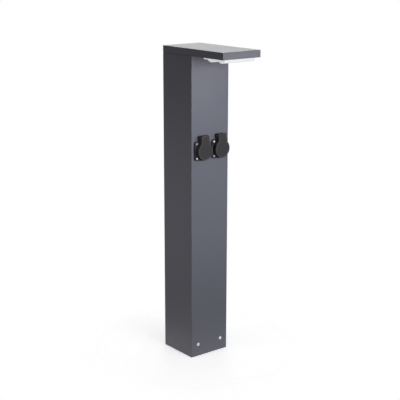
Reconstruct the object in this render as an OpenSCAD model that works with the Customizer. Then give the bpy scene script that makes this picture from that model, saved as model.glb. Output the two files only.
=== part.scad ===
// Square bollard light with an overhanging head and two lidded power sockets.
// Millimetres, +Z up, origin on the ground at the centre of the post.
// The sockets and the overhang face -Y.

/* [Post] */
// Width and depth of the square post
post_w = 120; // [117:1:130]
// Height from the ground to the top of the head
total_h = 820; // [760:5:1000]
// Wall of the post extrusion
post_t = 3; // [2.5:0.5:4]
// Radius on the post's outer corners
post_r = 1.5; // [0.5:0.5:2.5]
// Radius in the post's inner corners
post_in_r = 1; // [0.5:0.5:1.5]

/* [Head] */
// How far the head reaches out past the post's front face
overhang = 122; // [120:1:150]
// Height of the head
head_t = 18; // [17:0.5:22]
// Skin of the head casting
head_skin = 2.5; // [2:0.25:3]
// Radius along the head's top edges
head_edge_r = 1; // [0.5:0.25:1.5]
// Thickness of the gasket between post and head
head_gasket_t = 0.8; // [0.5:0.1:1.5]
// How far that gasket sits back from the outer faces
gasket_inset = 1; // [0.5:0.25:1.5]
// Thickness of the plate that closes the head from below
base_t = 3; // [2:0.5:3.5]
// How far that plate sits up inside the head's skirt
base_inset = 0.5; // [0.3:0.1:1.5]
// How far the closing plate reaches in past the collar's ledge
wiring_lip = 2; // [1:0.5:8]
// Radius of the bosses along the head's sides
side_boss_r = 3; // [2.6:0.1:3.1]
// Width of the rib that ties each of those bosses to the skirt
boss_rib_w = 2.4; // [1.6:0.2:3]
// Radius of the bosses above the post
post_boss_r = 4.5; // [4:0.25:5]

/* [Lens] */
// Distance from the head's sides to the lens
lens_side = 10; // [10:0.25:12]
// Length of the lens along the head
lens_len = 81; // [76:1:84]
// Distance from the post's front face to the lens
lens_setback = 33; // [31:1:35]
// How far the lens hangs below the head
lens_drop = 4.5; // [3.5:0.5:7]
// Height of each lens lobe below that
lobe_h = 5.5; // [4:0.25:6.5]
// Distance between the two lobes
lobe_pitch = 40; // [36:1:44]
// Width of each lobe
lobe_w = 26; // [22:1:30]
// Flat strip between the lens's rear edge and the first lobe
lobe_margin = 19; // [17:0.5:21]
// Chamfer on the lens's plan corners
lens_c = 3; // [2:0.5:5]
// Radius under the lens's rear edge
lens_rear_r = 2.5; // [1:0.25:3.5]
// Radius of the groove above each row of emitters
groove_r = 4.5; // [3:0.5:5]
// Thickness of the lens's flange
lens_flange_t = 2; // [1.5:0.25:2.5]
// Width of that flange at the front and the rear
lens_lip = 3.5; // [2.5:0.25:4]
// Width of that flange at the sides
lens_side_lip = 2.5; // [1:0.25:3]
// Thickness of the silicone joint under the flange
lens_joint_t = 1; // [0.5:0.25:1.5]

/* [Light module] */
// Thickness of the heat spreader
spreader_t = 3; // [2:0.25:3.5]
// Thickness of the circuit board
board_t = 1.6; // [1:0.1:2]
// Width of spreader and board
module_w = 92; // [86:1:94]
// Length of spreader and board
module_len = 78; // [74:1:80]
// Side of one light emitter
led_w = 3.5; // [2.8:0.1:5]
// Height of one light emitter
led_t = 0.8; // [0.5:0.1:1]
// Emitters in a row
led_count = 8; // [4:1:9]
// Distance between emitters in a row
led_pitch = 10; // [7:0.5:10.5]

/* [Spigot and gear] */
// Depth of the collar that plugs the head into the post
spigot_h = 34; // [30:1:44]
// Wall of that collar
spigot_t = 3; // [2.5:0.5:4]
// Width of the ledge round the opening in the collar's top
spigot_ledge = 13.7; // [12.7:0.25:14.7]
// Distance of the head's fixing screws from the centre line
head_screw_x = 38; // [37:1:42]
// Depth of the head's fixing screws below the post's top
head_screw_drop = 16; // [14:1:18]
// Distance of the spigot screws from the collar's inner face
spigot_screw_inset = 7.7; // [7.2:0.1:8.2]
// Length of the head's fixing screws
head_screw_len = 10; // [8:0.5:12]
// Depth of the tray's screws below the tray's top
tray_screw_drop = 10; // [8:0.5:14]
// Width of the gear tray
tray_w = 64; // [60:1:66]
// Length of the gear tray
tray_h = 190; // [170:5:210]
// Sheet thickness of the gear tray
tray_t = 1.5; // [1:0.25:2]
// Depth of the gear tray's side flanges
tray_lip = 9.5; // [6:0.5:14]
// Distance of the tray's screws from the centre line
tray_screw_x = 20; // [14:1:25]
// Width of the light's driver
driver_w = 50; // [40:1:54]
// Depth of the driver
driver_d = 25; // [20:1:30]
// Height of the driver's case
driver_h = 125; // [110:1:130]
// Distance from the post's top down to the driver's case
driver_drop = 56; // [54:1:60]

/* [Sockets] */
// Distance between the two socket centres
socket_pitch = 56; // [54:0.5:60]
// Height of the socket centres
socket_z = 561; // [540:1:575]
// Width and height of a socket flange
flange_w = 50; // [49:0.5:52]
// Corner radius of a socket flange
flange_r = 6.5; // [5:0.5:7]
// Distance between a flange's screws, both ways
flange_screw_pitch = 38; // [37.5:0.25:39]
// Thickness of the front flange
flange_t = 3; // [2.5:0.25:4]
// Thickness of the flange gasket
flange_gasket_t = 1; // [0.5:0.25:1.5]
// Thickness of the insert's mounting plate
insert_plate_t = 1.5; // [1:0.25:2]
// Outer radius of the insert's barrel
insert_r = 21.5; // [21.25:0.05:21.7]
// Radius of the recess that takes the plug
recess_r = 19.5; // [19.25:0.05:19.6]
// Depth of the recess
recess_d = 17.5; // [16:0.5:18]
// Thickness of the recess floor and the contact block behind it together
floor_t = 9; // [8:0.5:11]
// Thickness of the recess floor alone
recess_floor_t = 3; // [2.5:0.25:3.5]
// Shank radius of the screw in the middle of each recess floor
insert_shank_r = 1.25; // [1:0.05:1.35]
// Radius of the collar's mouth
mouth_r = 20; // [19.8:0.05:20.3]
// Outer radius of the collar
collar_r = 22.5; // [22.25:0.05:22.6]
// How far the collar stands out from the post
collar_h = 13; // [12:0.25:13]
// Chamfer at the mouth
mouth_chamfer = 0.6; // [0.3:0.1:0.9]
// Width of the two keying ribs in the recess
rib_w = 4.6; // [3:0.2:6]
// How far the keying ribs reach into the recess
rib_d = 2.3; // [1.5:0.1:2.6]
// Distance between the two live pins
pin_pitch = 19; // [18.5:0.25:19.5]
// Radius of a pin hole
pin_hole_r = 2.6; // [2.5:0.05:2.8]
// Wall of a contact tube
contact_t = 0.95; // [0.7:0.05:1]
// Width of the earth clip
clip_w = 5; // [4:0.25:5]
// Thickness of the earth clip
clip_t = 1; // [0.8:0.1:1.2]
// Depth of the cover behind each insert
rear_cover_h = 16; // [14:0.5:20]
// Wall of that cover
rear_cover_t = 2; // [1.5:0.25:2.5]

/* [Lids] */
// Radius of the lid's round part
lid_r = 22.5; // [22.3:0.1:23]
// Thickness of the lid
lid_t = 2.9; // [2.5:0.1:3.2]
// Height of the rim around the lid's face
rim_h = 0.6; // [0.3:0.1:0.6]
// Width of that rim
rim_w = 1.5; // [1:0.1:2]
// Width of the lid's neck
neck_w = 24.5; // [24.5:0.25:26]
// Height of the neck's top above the socket's centre
neck_top = 39.5; // [39:0.25:39.5]
// Corner radius at the neck's top
neck_r = 4; // [2.5:0.5:5]
// Radius of the fillets between the neck and the round part
neck_fillet = 10; // [6:0.5:12]
// Width of the finger lip under the lid
lip_w = 15; // [10:1:18]
// How far the finger lip reaches below the lid
lip_h = 2; // [1:0.25:3]
// Inner radius of the lid's seal
seal_in_r = 20.4; // [20.4:0.05:20.6]
// Width of the lid's seal
seal_w = 1.5; // [1:0.1:1.6]
// Depth of the seal's groove in the lid
seal_groove = 1; // [0.6:0.1:1.4]
// Gap left between the closed seal and the collar
seal_gap = 0.3; // [0.2:0.05:0.4]

/* [Hinges] */
// Height of the hinge axis above the socket's centre
hinge_y = 33.5; // [33:0.25:33.75]
// Distance of the hinge axis out from the post
hinge_z = 8.3; // [8:0.1:8.4]
// Radius of ears and knuckles
barrel_r = 5.8; // [5.2:0.1:5.8]
// Half the gap between the two ears
ear_in = 7.3; // [7.2:0.1:7.6]
// Width of one lid knuckle
knuckle_w = 3.4; // [2.8:0.1:3.4]
// Gap between a knuckle and its ear
knuckle_gap = 0.3; // [0.2:0.05:0.4]
// Radius of the hinge pin
hinge_pin_r = 1.25; // [1:0.05:1.4]
// Wire radius of the closing spring
wire_r = 0.4; // [0.3:0.05:0.4]
// Mean radius of the closing spring's coil
coil_r = 2.4; // [2.3:0.1:2.8]
// Whole turns of the closing spring
coil_turns = 4; // [3:1:4]

/* [Foot] */
// Sheet thickness of the foot bracket
foot_t = 5; // [4:0.5:6]
// Height of the foot bracket's two upright tabs
foot_tab_h = 55; // [45:1:80]
// Width of those tabs
foot_tab_w = 100; // [92:1:106]
// Outer bend radius of the foot bracket
foot_bend_r = 9; // [8:0.5:11]
// Distance of the foot screws from the centre line
foot_screw_x = 38; // [32:1:40]
// Height of the foot screws
foot_screw_z = 33; // [26:1:38]
// Radius of the cable entry in the foot
entry_r = 20; // [14:0.5:21]
// Distance between the ground anchors, both ways
anchor_pitch = 72; // [66:1:76]
// Radius of the ground anchor holes
anchor_hole_r = 5.5; // [4:0.25:6]
// Distance of the earth stud from the post's side
earth_inset = 16; // [12:1:22]
// Radius of the earth stud
earth_r = 3; // [2.5:0.25:3.5]
// Height of the earth stud
earth_h = 22; // [18:1:28]
// Width of the terminal bracket
bracket_w = 44; // [42:1:46]
// Height of the terminal bracket
bracket_h = 120; // [114:1:124]
// Sheet thickness of the terminal bracket
bracket_t = 2; // [1.5:0.25:3]
// Distance from the post's rear face to the terminal bracket
bracket_setback = 35; // [32:0.5:36]
// Length of the terminal bracket's foot
bracket_foot = 20; // [18:0.5:20]
// Width of the terminal block
terminal_w = 40; // [36:1:42]
// Depth of the terminal block
terminal_d = 22; // [18:1:24]
// Height of the terminal block
terminal_h = 30; // [24:1:34]
// Poles of the terminal block
terminal_poles = 5; // [3:1:5]
// Height of the cord clamp above the ground
clamp_z = 51; // [40:1:60]

/* [Screws] */
// Shank radius of the foot screws
foot_shank_r = 3; // [2.5:0.25:3]
// Head radius of the foot screws
foot_head_r = 5; // [4.5:0.25:5.5]
// Shank radius of the flange screws
flange_shank_r = 1.75; // [1.5:0.05:1.75]
// Head radius of the flange screws
flange_head_r = 2.9; // [2.6:0.1:3]
// Shank radius of the head and spigot screws
head_shank_r = 2.5; // [2:0.25:2.5]
// Shank radius of the small screws
small_shank_r = 1.5; // [1.25:0.05:1.5]
// Shank radius of the closing plate's screws
base_shank_r = 1.25; // [1:0.05:1.3]
// Radial clearance of every screw in its hole
screw_gap = 0.15; // [0.1:0.05:0.2]

/* [Fits] */
// Clearance of foot bracket and spigot in the post, each side
slip_gap = 0.3; // [0.1:0.05:0.4]
// Clearance of the insert's barrel in the post's cut-out
cutout_gap = 0.5; // [0.3:0.1:0.7]
// Clearance of the insert's collar in the front flange
insert_gap = 0.1; // [0.05:0.05:0.2]
// Clearance of plate and lens in their frames
frame_gap = 0.4; // [0.2:0.05:0.5]
// Clearance of the lens's joint round the lens
joint_gap = 0.1; // [0.05:0.05:0.15]
// Clearance of the lens's flange round the head's bosses
boss_gap = 0.2; // [0.1:0.05:0.25]
// Clearance of pins and contacts in their plastic
contact_gap = 0.1; // [0.05:0.05:0.15]
// Radial clearance of the hinge pin in the ears
ear_gap = 0.02; // [0.01:0.01:0.04]
// Radial clearance of the hinge pin in the knuckles
knuckle_fit = 0.05; // [0.03:0.01:0.08]
// Radial clearance of the nuts on their screws
nut_gap = 0.05; // [0.03:0.01:0.1]

/* [Leads] */
// Radius of the leads to the sockets and the driver
lead_r = 3.5; // [2.5:0.25:4]
// Radius of the lead to the light module
led_lead_r = 2.5; // [1.5:0.25:2.5]

/* [Hidden] */
$fn = 72;
cut = 1; // how far a cut runs past the face it opens

anthracite = [0.27, 0.27, 0.29];
black = [0.13, 0.13, 0.14];
steel = [0.75, 0.76, 0.78];
zinc = [0.62, 0.64, 0.66];
brass = [0.80, 0.64, 0.32];

// post and head levels
post_in = post_w / 2 - post_t;
head_z = total_h - head_t;
post_top = head_z - head_gasket_t;
head_front = -post_w / 2 - overhang;
head_len = post_w + overhang;
head_mid = head_front + head_len / 2;
pocket_top = total_h - head_skin;
base_z = head_z + base_inset;
base_top = base_z + base_t;

// lens, between its front and rear edges
lens_w = post_w - 2 * lens_side;
lens_y = -post_w / 2 - lens_setback - lens_len / 2;
lens_flange_z = base_top + lens_joint_t;
lens_top = lens_flange_z + lens_flange_t;
lobe_rear = -post_w / 2 - lens_setback - lobe_margin - lobe_w / 2;
lobe_y = [lobe_rear, lobe_rear - lobe_pitch];
lobe_r = (pow(lobe_w / 2, 2) + pow(lobe_h, 2)) / (2 * lobe_h);

// screws along the head's sides stand in the strip beside the lens
side_screw_x = post_w / 2 - (lens_side + head_skin) / 2;
side_screw_y = [-post_w / 2 - 12, lens_y, head_front + 10];

// heat spreader and board above the lens
module_y = lens_y - 2;
module_rear = module_y + module_len / 2;
spreader_z = pocket_top - spreader_t;
board_z = spreader_z - board_t;

// spigot and gear
spigot_out = post_in - slip_gap;
spigot_in = spigot_out - spigot_t;
spigot_open = 2 * (spigot_in - spigot_ledge);
spigot_screw_x = spigot_in - spigot_screw_inset;
wiring_w = spigot_open - 2 * wiring_lip;
spigot_z = base_z - spigot_h;
tray_face = spigot_in - tray_t;
tray_top = base_z - spigot_t - 4;
driver_top = post_top - driver_drop;
driver_y = tray_face - driver_d / 2;
driver_tab = 9;
driver_screw_x = driver_w / 2 - 7;

// socket levels, measured out from the post's face
plate_z = flange_gasket_t;
flange_z = plate_z + insert_plate_t;
flange_top = flange_z + flange_t;
mouth_z = flange_top + 1;
floor_z = mouth_z - recess_d;
insert_back = floor_z - floor_t;
cutout_r = insert_r + cutout_gap;
pocket_z = floor_z - recess_floor_t;
contact_r = pin_hole_r - 0.15 + contact_t;
clip_out = recess_r - 0.5;
lid_z = collar_h + seal_gap + 1.2;
cover_back = insert_back - rear_cover_h;
cover_mid = insert_back - rear_cover_h / 2;

// hinge
knuckle_out = ear_in - knuckle_gap;
knuckle_in = knuckle_out - knuckle_w;
knuckle_web = 4.5;
ear_back = 0.6;
fillet_bite = 0.02; // how far the lid's fillet arcs dip into its disc and neck
ear_top = hinge_y + 4.3;
rest_y = hinge_y - barrel_r - 0.5;
root_y = flange_w / 2 - 6;

// foot
foot_out = post_in - slip_gap;
foot_in = foot_out - foot_t;
foot_flat = foot_out - foot_bend_r;
foot_nut_t = 5;
flange_nut_t = 2.8;
bracket_y = post_w / 2 - bracket_setback;
bracket_screw_x = 14;
bracket_screw_y = bracket_y + bracket_t + 9;
clamp_screw_x = 15;
clamp_t = 6;
terminal_z = bracket_h + foot_t - terminal_h - 4;
terminal_top = terminal_z + terminal_h;
terminal_y = bracket_y - terminal_d / 2;
lead_x = terminal_w / 2 - 6;

// outlines

// square or rectangle with round corners, centred
module rounded(w, h, r) {
    square([w - 2 * r, h], center = true);
    square([w, h - 2 * r], center = true);
    for (x = [-1, 1], y = [-1, 1])
        translate([x * (w / 2 - r), y * (h / 2 - r)]) circle(r);
}

// rectangle with chamfered corners, centred
module chamfered(w, h, c)
    polygon([[w / 2, h / 2 - c], [w / 2 - c, h / 2], [c - w / 2, h / 2], [-w / 2, h / 2 - c],
        [-w / 2, c - h / 2], [c - w / 2, -h / 2], [w / 2 - c, -h / 2], [w / 2, c - h / 2]]);

// keyhole outline of the lid: disc, neck and concave fillets, drawn in by i
module keyhole(i = 0) {
    r = lid_r - i;
    n = neck_w / 2 - i;
    top = neck_top - i;
    c = neck_r - i;
    f = neck_fillet + i;
    fx = n + f;
    fy = sqrt(pow(r + f, 2) - pow(fx, 2));
    circle(r);
    translate([-n, 0]) square([2 * n, top - c]);
    translate([-n + c, 0]) square([2 * (n - c), top]);
    for (s = [-1, 1]) {
        translate([s * (n - c), top - c]) circle(c);
        difference() {
            polygon([[0, 0], [s * fx, fy], [s * (n - 2), fy]]);
            translate([s * fx, fy]) circle(f + fillet_bite);
        }
    }
}

// bent sheet outline of the foot bracket, seen along X
module foot_outline() {
    r = foot_bend_r;
    difference() {
        union() {
            translate([-foot_out + r, 0]) square([2 * foot_flat, r]);
            translate([-foot_out, r]) square([2 * foot_out, foot_tab_h - r]);
            for (s = [-1, 1]) translate([s * foot_flat, r]) circle(r);
        }
        translate([-foot_in, r]) square([2 * foot_in, foot_tab_h]);
        translate([-foot_flat, foot_t]) square([2 * foot_flat, r]);
        for (s = [-1, 1]) translate([s * foot_flat, r]) circle(r - foot_t);
    }
}

// outline of a hinge ear, y up and z out from the post
module ear_outline() {
    translate([hinge_y, hinge_z]) circle(barrel_r);
    translate([flange_w / 2 + 0.6, ear_back])
        square([ear_top - flange_w / 2 - 0.6, hinge_z - ear_back]);
    translate([root_y, flange_z]) square([hinge_y - root_y, collar_h - flange_z]);
}

// section of the lens along the head: flat band, two lobes, round rear edge
module lens_outline() {
    low = head_z - lens_drop;
    rear = lens_y + lens_len / 2;
    front = lens_y - lens_len / 2;
    difference() {
        union() {
            translate([front, low]) square([lens_len - lens_rear_r, lens_top - low]);
            translate([front, low + lens_rear_r])
                square([lens_len, lens_top - low - lens_rear_r]);
            translate([rear - lens_rear_r, low + lens_rear_r]) circle(lens_rear_r);
            intersection() {
                for (y = lobe_y) translate([y, low - lobe_h + lobe_r]) circle(lobe_r, $fn = 180);
                translate([front, low - lobe_h - cut]) square([lens_len, lobe_h + 2 * cut]);
            }
        }
        for (y = lobe_y) translate([y, lens_top]) circle(groove_r);
    }
}

// flange of the lens, notched round the bosses of the head
module lens_rim() {
    difference() {
        translate([0, lens_y])
            chamfered(lens_w + 2 * lens_side_lip, lens_len + 2 * lens_lip, lens_c);
        for (s = [-1, 1], y = [side_screw_y[1], side_screw_y[2]])
            translate([s * side_screw_x, y]) circle(side_boss_r + boss_gap);
    }
}

// placing and shaping

module along_x(w) rotate([90, 0, 90]) linear_extrude(w, center = true) children();
module along_y(w) rotate([90, 0, 0]) linear_extrude(w, center = true) children();

// front face is -1, rear face is 1; local z points out of the post
module on_face(side, x, z)
    translate([x, side * post_w / 2, z]) rotate([-side * 90, 0, 0]) children();

// left socket is -1, right socket is 1; local y is up, local z points out
module at_socket(side)
    translate([side * socket_pitch / 2, -post_w / 2, socket_z]) rotate([90, 0, 0]) children();

module flange_spots()
    for (x = [-1, 1], y = [-1, 1])
        translate([x * flange_screw_pitch / 2, y * flange_screw_pitch / 2, 0]) children();

// screw with a domed head standing on z = 0 and its shank below
module dome_screw(head_r, head_h, shank_r, length) {
    dome = (pow(head_r, 2) + pow(head_h, 2)) / (2 * head_h);
    difference() {
        union() {
            intersection() {
                translate([0, 0, head_h - dome]) sphere(dome);
                cylinder(r = head_r + 0.1, h = head_h + cut);
            }
            translate([0, 0, -length]) cylinder(r = shank_r, h = length + head_h / 2);
        }
        translate([0, 0, head_h * 0.45]) cylinder(r = head_r * 0.46, h = head_h, $fn = 6);
    }
}

// countersunk screw with its flat head flush with z = 0
module flush_screw(shank_r, length) {
    difference() {
        union() {
            translate([0, 0, -shank_r]) cylinder(r1 = shank_r, r2 = 2 * shank_r, h = shank_r);
            translate([0, 0, -length]) cylinder(r = shank_r, h = length - shank_r / 2);
        }
        translate([0, 0, -shank_r * 0.6]) cylinder(r = shank_r * 0.9, h = shank_r, $fn = 6);
    }
}

// hole for that screw, opened by the screw clearance
module flush_hole(shank_r, length) {
    translate([0, 0, -shank_r])
        cylinder(r1 = shank_r + screw_gap, r2 = 2 * shank_r + screw_gap + cut, h = shank_r + cut);
    translate([0, 0, -length]) cylinder(r = shank_r + screw_gap, h = length);
}

// hexagon nut from z = 0 upwards
module hex_nut(shank_r, h) {
    difference() {
        cylinder(r = shank_r * 1.92, h = h, $fn = 6);
        translate([0, 0, -cut]) cylinder(r = shank_r + nut_gap, h = h + 2 * cut);
    }
}

// swept leads and springs

function unit(v) = v / norm(v);

// curve through the points p with straight ends and n steps to a stretch between them
function curve(p, n) = [
    p[0],
    for (i = [1 : len(p) - 3], k = [0 : n - 1])
        let (a = p[i - 1], b = p[i], c = p[i + 1], d = p[i + 2], t = k / n)
        0.5 * (2 * b + (c - a) * t + (2 * a - 5 * b + 4 * c - d) * t * t
            + (3 * b - a - 3 * c + d) * t * t * t),
    p[len(p) - 2], p[len(p) - 1]];

function tangents(p) = [
    for (i = [0 : len(p) - 1]) unit(p[min(i + 1, len(p) - 1)] - p[max(i - 1, 0)])];

// carries a side vector along the tangents without twist
function carried(t, i, u) =
    let (v = unit(u - (u * t[i]) * t[i]))
    i == len(t) - 1 ? [v] : concat([v], carried(t, i + 1, v));

module tube(p, r, sides, side_vector) {
    t = tangents(p);
    u = carried(t, 0, side_vector);
    n = len(p);
    polyhedron(
        points = [for (i = [0 : n - 1], j = [0 : sides - 1])
            p[i] + r * (cos(360 * j / sides) * u[i] + sin(360 * j / sides) * cross(t[i], u[i]))],
        faces = concat(
            [[for (j = [0 : sides - 1]) j]],
            [[for (j = [sides - 1 : -1 : 0]) (n - 1) * sides + j]],
            [for (i = [0 : n - 2], j = [0 : sides - 1])
                let (a = i * sides + j, b = i * sides + (j + 1) % sides)
                [a, a + sides, b]],
            [for (i = [0 : n - 2], j = [0 : sides - 1])
                let (b = i * sides + (j + 1) % sides, a = i * sides + j)
                [b, a + sides, b + sides]]));
}

// routes of the leads, ends tied to what they meet
lead_rise = 12;
lead_run = 18;
socket_route = [[lead_x, terminal_y, terminal_top], [lead_x, terminal_y, terminal_top + lead_rise],
    [18, 26, 165], [25, 44, 205], [28, 47, 260], [28, 47, 330], [28, 47, 400], [28, 38, 450],
    [28, 5, 490], [socket_pitch / 2, -post_w / 2 - cover_mid, socket_z - insert_r - lead_run],
    [socket_pitch / 2, -post_w / 2 - cover_mid, socket_z - insert_r + rear_cover_t]];
driver_route = [[0, terminal_y, terminal_top], [0, terminal_y, terminal_top + lead_rise],
    [0, 30, 165], [0, 46, 210], [0, 48, 290], [0, 48, 380], [0, 48, 470], [0, 46, 550],
    [0, driver_y, driver_top - driver_h - 16], [0, driver_y, driver_top - driver_h]];
led_route = [[-12, driver_y, driver_top], [-12, driver_y, driver_top + lead_rise],
    [-18, 34, driver_top + 32], [-27, 24, head_z - 12], [-28, 2, head_z + 8],
    [-28, -24, board_z], [-28, module_rear + lead_run, board_z], [-28, module_rear, board_z]];

function mirrored(p) = [for (q = p) [-q[0], q[1], q[2]]];

// closing spring: leg on the housing, coil along the pin, leg on the lid
coil_step = 2 * wire_r + 0.45;
coil_deg = 360 * coil_turns + 270;
coil_len = coil_step * coil_deg / 360;
coil_path = [for (k = [0 : coil_turns * 8 + 6])
    let (a = 45 * k) [-coil_len / 2 + coil_len * a / coil_deg,
        coil_r * sin(a), coil_r * cos(a)]];
spring_path = concat(
    [[-coil_len / 2, rest_y + 0.1 - hinge_y, coil_r], [-coil_len / 2, -coil_r * 0.6, coil_r]],
    coil_path,
    [[coil_len / 2, -coil_r, coil_r * 0.6],
        [coil_len / 2, -coil_r, lid_z - hinge_z - 0.3]]);

// least gap between stretches of the wire four steps or more apart, measured on its points
wire_points = [for (i = [0 : len(spring_path) - 2], k = [0 : 3])
    spring_path[i] + (spring_path[i + 1] - spring_path[i]) * k / 4];
echo(least_self_gap = min([for (i = [0 : len(wire_points) - 17], j = [i + 16 : len(wire_points) - 1])
    norm(wire_points[i] - wire_points[j])]) - 2 * wire_r);

// foot

module foot_bracket() color(zinc) difference() {
    union() {
        along_x(foot_tab_w) foot_outline();
        linear_extrude(foot_t) rounded(2 * foot_out, 2 * foot_flat, 3);
    }
    translate([0, 0, -cut]) cylinder(r = entry_r, h = foot_t + 2 * cut);
    for (x = [-1, 1], y = [-1, 1])
        translate([x * anchor_pitch / 2, y * anchor_pitch / 2, -cut])
            cylinder(r = anchor_hole_r, h = foot_t + 2 * cut);
    for (s = [-1, 1], x = [-foot_screw_x, foot_screw_x])
        on_face(s, x, foot_screw_z) translate([0, 0, foot_in - post_w / 2 - cut])
            cylinder(r = foot_shank_r + screw_gap, h = foot_t + 2 * cut);
    for (x = [-bracket_screw_x, bracket_screw_x])
        translate([x, bracket_screw_y, -cut])
            cylinder(r = small_shank_r + screw_gap, h = foot_t + 2 * cut);
}

module foot_screws() color(steel)
    for (s = [-1, 1], x = [-foot_screw_x, foot_screw_x])
        on_face(s, x, foot_screw_z) dome_screw(foot_head_r, 3, foot_shank_r,
            post_w / 2 - foot_in + foot_nut_t + 2);

module foot_nuts() color(zinc)
    for (s = [-1, 1], x = [-foot_screw_x, foot_screw_x])
        on_face(s, x, foot_screw_z) translate([0, 0, foot_in - foot_nut_t - post_w / 2])
            hex_nut(foot_shank_r, foot_nut_t);

module earth_stud() color(brass) translate([post_w / 2 - earth_inset, 0, foot_t]) {
    cylinder(r = earth_r + 2, h = 1.5);
    cylinder(r = earth_r, h = earth_h);
}

module earth_nuts() color(brass)
    for (z = [1.5, 10])
        translate([post_w / 2 - earth_inset, 0, foot_t + z]) hex_nut(earth_r, 5);

module terminal_bracket() color(zinc) difference() {
    union() {
        along_x(bracket_w) difference() {
            translate([bracket_y, foot_t]) union() {
                translate([0, 4]) square([bracket_foot, bracket_h - 4]);
                translate([4, 0]) square([bracket_foot - 4, 8]);
                translate([4, 4]) circle(4);
            }
            translate([bracket_y + bracket_t, foot_t + 4]) square([bracket_foot, bracket_h]);
            translate([bracket_y + 4, foot_t + bracket_t]) square([bracket_foot, 8]);
            translate([bracket_y + 4, foot_t + 4]) circle(4 - bracket_t);
        }
    }
    for (x = [-bracket_screw_x, bracket_screw_x])
        translate([x, bracket_screw_y, foot_t - cut])
            cylinder(r = small_shank_r + screw_gap, h = bracket_t + 2 * cut);
    for (x = [-clamp_screw_x, clamp_screw_x])
        translate([x, bracket_y - cut, clamp_z]) rotate([-90, 0, 0])
            cylinder(r = small_shank_r + screw_gap, h = bracket_t + 2 * cut);
}

module bracket_screws() color(steel)
    for (x = [-bracket_screw_x, bracket_screw_x])
        translate([x, bracket_screw_y, foot_t + bracket_t])
            dome_screw(3, 2, small_shank_r, bracket_t + foot_t - 0.5);

// five poles, each with a wire way through and a clamping screw well
module terminal_block() color([0.9, 0.9, 0.88]) difference() {
    translate([0, terminal_y, terminal_z]) linear_extrude(terminal_h)
        rounded(terminal_w, terminal_d, 2);
    for (i = [0 : terminal_poles - 1]) {
        x = (i - (terminal_poles - 1) / 2) * (terminal_w - 4) / terminal_poles;
        translate([x, terminal_y - terminal_d / 2 + 3, terminal_z - cut])
            cylinder(r = 2, h = terminal_h + 2 * cut);
        for (z = [0.28, 0.72])
            translate([x, terminal_y - terminal_d / 2 - cut, terminal_z + z * terminal_h])
                rotate([-90, 0, 0]) cylinder(r = 2.4, h = 7 + cut);
    }
}

module cord_clamp() color(zinc) difference() {
    translate([0, bracket_y - clamp_t, clamp_z]) rotate([-90, 0, 0])
        linear_extrude(clamp_t) rounded(2 * clamp_screw_x + 10, 12, 4);
    for (x = [-clamp_screw_x, clamp_screw_x])
        translate([x, bracket_y - clamp_t - cut, clamp_z]) rotate([-90, 0, 0])
            cylinder(r = small_shank_r + screw_gap, h = clamp_t + 2 * cut);
}

module clamp_screws() color(steel)
    for (x = [-clamp_screw_x, clamp_screw_x])
        translate([x, bracket_y - clamp_t, clamp_z]) rotate([90, 0, 0])
            dome_screw(3, 2, small_shank_r, clamp_t + bracket_t + 2);

// post

module post_tube() color(anthracite) difference() {
    linear_extrude(post_top) difference() {
        rounded(post_w, post_w, post_r);
        rounded(2 * post_in, 2 * post_in, post_in_r);
    }
    for (side = [-1, 1]) at_socket(side) translate([0, 0, -post_t - cut]) {
        cylinder(r = cutout_r, h = post_t + 2 * cut);
        flange_spots() cylinder(r = flange_shank_r + screw_gap, h = post_t + 2 * cut);
    }
    for (s = [-1, 1], x = [-foot_screw_x, foot_screw_x])
        on_face(s, x, foot_screw_z) translate([0, 0, -post_t - cut])
            cylinder(r = foot_shank_r + screw_gap, h = post_t + 2 * cut);
    for (x = [-head_screw_x, head_screw_x])
        on_face(1, x, post_top - head_screw_drop) flush_hole(head_shank_r, post_t + cut);
}

// head

module head_gasket() color(black) translate([0, 0, post_top]) linear_extrude(head_gasket_t)
    difference() {
        rounded(post_w - 2 * gasket_inset, post_w - 2 * gasket_inset, post_r);
        rounded(2 * post_in + 0.6, 2 * post_in + 0.6, post_in_r);
    }

module head_spigot() color(zinc) difference() {
    translate([0, 0, spigot_z]) linear_extrude(spigot_h) rounded(2 * spigot_out, 2 * spigot_out, 2);
    translate([0, 0, spigot_z - cut]) linear_extrude(spigot_h - spigot_t + cut)
        rounded(2 * spigot_in, 2 * spigot_in, 1);
    translate([0, 0, base_z - spigot_t - cut]) linear_extrude(spigot_t + 2 * cut)
        rounded(spigot_open, spigot_open, 3);
    for (x = [-1, 1], y = [-1, 1])
        translate([x * spigot_screw_x, y * spigot_screw_x, base_z - spigot_t - cut])
            cylinder(r = head_shank_r + screw_gap, h = spigot_t + 2 * cut);
    for (x = [-head_screw_x, head_screw_x])
        on_face(1, x, post_top - head_screw_drop)
            translate([0, 0, spigot_in - post_w / 2 - cut])
                cylinder(r = head_shank_r + screw_gap, h = spigot_t + 2 * cut);
    for (x = [-tray_screw_x, tray_screw_x])
        on_face(1, x, tray_top - tray_screw_drop) translate([0, 0, spigot_in - post_w / 2 - cut])
            cylinder(r = small_shank_r + screw_gap, h = spigot_t + 2 * cut);
}

module head_screws() color(steel)
    for (x = [-head_screw_x, head_screw_x])
        on_face(1, x, post_top - head_screw_drop) flush_screw(head_shank_r, head_screw_len);

module spigot_screws() color(steel)
    for (x = [-1, 1], y = [-1, 1])
        translate([x * spigot_screw_x, y * spigot_screw_x, base_z - spigot_t])
            rotate([180, 0, 0])
                dome_screw(4.2, 2.8, head_shank_r, spigot_t + base_t + 6);

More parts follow.
